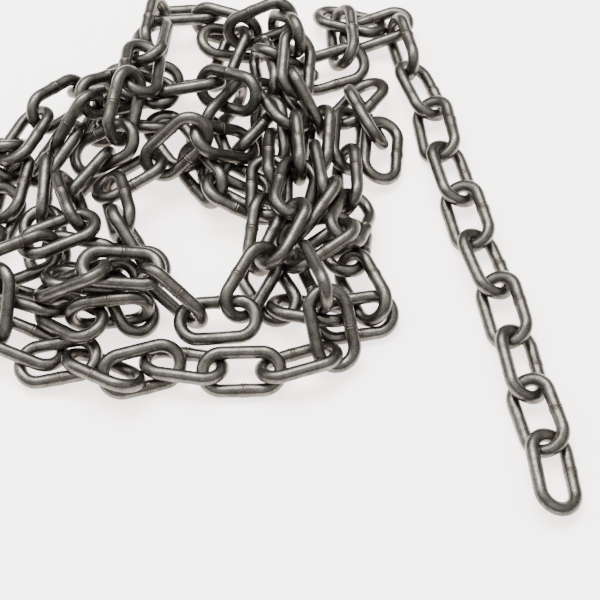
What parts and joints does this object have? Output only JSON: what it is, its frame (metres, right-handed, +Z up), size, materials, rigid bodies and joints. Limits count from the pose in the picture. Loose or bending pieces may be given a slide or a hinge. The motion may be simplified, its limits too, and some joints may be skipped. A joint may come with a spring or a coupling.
{
  "type": "heap of steel chain",
  "caption": "Loose heap of short-link welded steel chain, spread round a bare patch, with one free end drawn out to the side.",
  "frame": {"origin": "middle of the heap's box, on the floor that it lies on", "axes": "+Z up; +X to the right and +Y away as the picture looks at it; the drawn-out end lies along +X and reaches towards -Y"},
  "size_m": [0.1964, 0.1952, 0.0293],
  "materials": {
    "steel": "dull, self-coloured"
  },
  "bodies": {
    "root": {"link_pair_01": "steel", "link_pair_02": "steel", "link_pair_03": "steel", "link_pair_04": "steel", "link_pair_05": "steel", "link_pair_06": "steel", "link_pair_07": "steel", "link_pair_08": "steel", "link_pair_09": "steel", "link_pair_10": "steel", "link_pair_11": "steel", "link_pair_12": "steel", "link_pair_13": "steel", "link_pair_14": "steel", "link_pair_15": "steel", "link_pair_16": "steel", "link_pair_17": "steel", "link_pair_18": "steel", "link_pair_19": "steel", "link_pair_20": "steel", "link_pair_21": "steel", "link_pair_22": "steel", "link_pair_23": "steel", "link_pair_24": "steel", "link_pair_25": "steel", "link_pair_26": "steel", "link_pair_27": "steel", "link_pair_28": "steel", "link_pair_29": "steel", "link_pair_30": "steel", "link_pair_31": "steel", "link_pair_32": "steel", "link_pair_33": "steel", "link_pair_34": "steel", "link_pair_35": "steel", "link_pair_36": "steel", "link_pair_37": "steel", "link_pair_38": "steel", "link_pair_39": "steel", "link_pair_40": "steel", "link_pair_41": "steel", "link_pair_42": "steel", "link_pair_43": "steel", "link_pair_44": "steel", "link_pair_45": "steel", "link_pair_46": "steel", "link_pair_47": "steel", "link_pair_48": "steel", "link_pair_49": "steel", "link_pair_50": "steel", "link_pair_51": "steel", "link_pair_52": "steel", "link_pair_53": "steel", "link_pair_54": "steel", "link_pair_55": "steel", "link_pair_56": "steel"}
  },
  "joints": []
}
